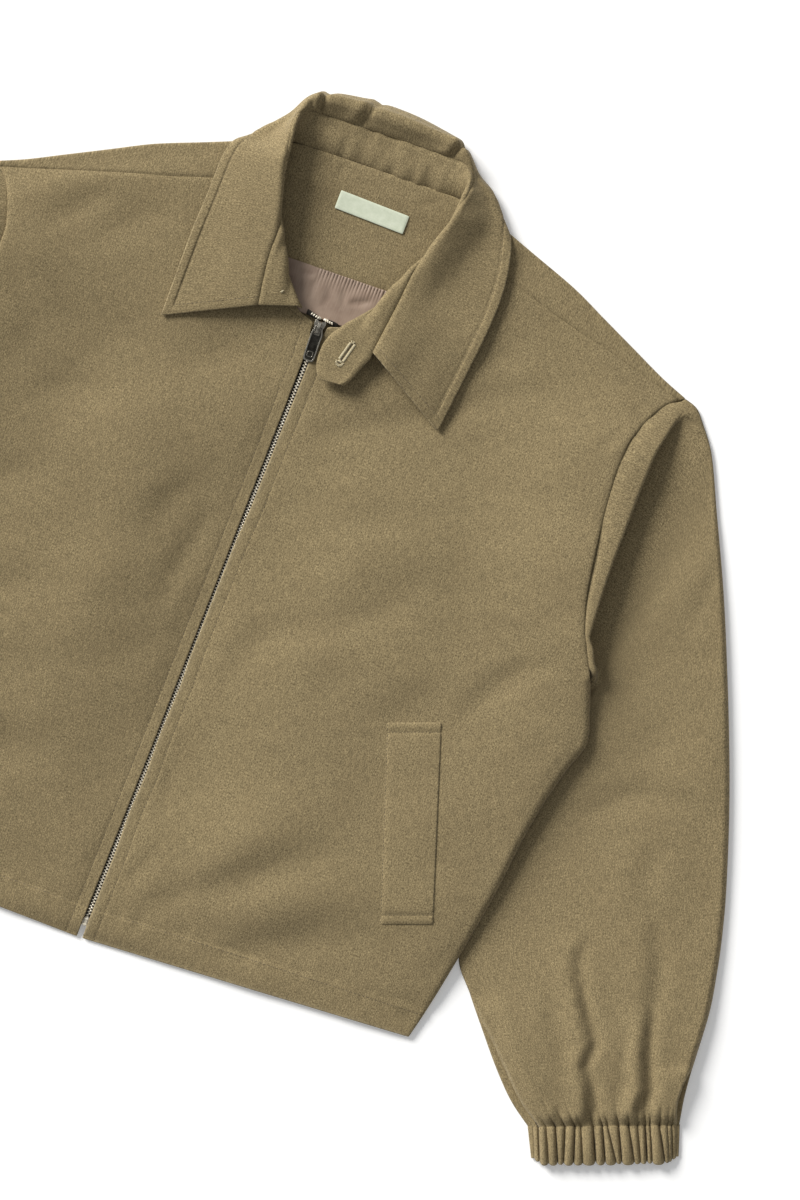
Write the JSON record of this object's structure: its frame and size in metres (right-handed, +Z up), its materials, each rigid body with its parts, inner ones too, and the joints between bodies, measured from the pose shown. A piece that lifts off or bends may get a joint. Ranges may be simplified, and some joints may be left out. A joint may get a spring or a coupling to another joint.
{
  "type": "cropped collared zip jacket",
  "caption": "Cropped zip jacket lying flat on its back, shirt collar opened out, sleeve heads folded, cuffs gathered, welt pockets slanted; the zip's pull tab lifts.",
  "frame": {"origin": "middle of the footprint, on the surface that the jacket lies on", "axes": "+X to the wearer's left, +Y from the hem to the collar, +Z up from the surface"},
  "size_m": [0.905, 0.6889, 0.0221],
  "materials": {
    "khaki_twill": "matt mottled cotton twill",
    "lining_satin": "smooth satin",
    "zip_tape": "woven tape",
    "label_weave": "bare woven label",
    "gunmetal": "dark satin plating",
    "nickel": "bright plated metal",
    "button_horn": "dark moulded button"
  },
  "bodies": {
    "jacket": {"back": "khaki_twill", "back_facing": "khaki_twill", "collar_button": "button_horn", "collar_leaf": "khaki_twill", "collar_stand": "khaki_twill", "cuff_left": "khaki_twill", "cuff_right": "khaki_twill", "front_left": "khaki_twill", "front_right": "khaki_twill", "label": "label_weave", "lining": "lining_satin", "sleeve_left": "khaki_twill", "sleeve_right": "khaki_twill", "welt_left": "khaki_twill", "welt_right": "khaki_twill", "zip_bottom": "nickel", "zip_chain": "nickel", "zip_slider": "gunmetal", "zip_stop_left": "nickel", "zip_stop_right": "nickel", "zip_tape_left": "zip_tape", "zip_tape_right": "zip_tape"},
    "pull": {"zip_pull": "gunmetal"}
  },
  "joints": [
    {"name": "pull_hinge", "type": "hinge", "parent": "jacket", "child": "pull", "pos_m": [0.00976, 0.1766, 0.00615], "axis": [-1, 0, 0], "range_deg": [0, 160]}
  ]
}
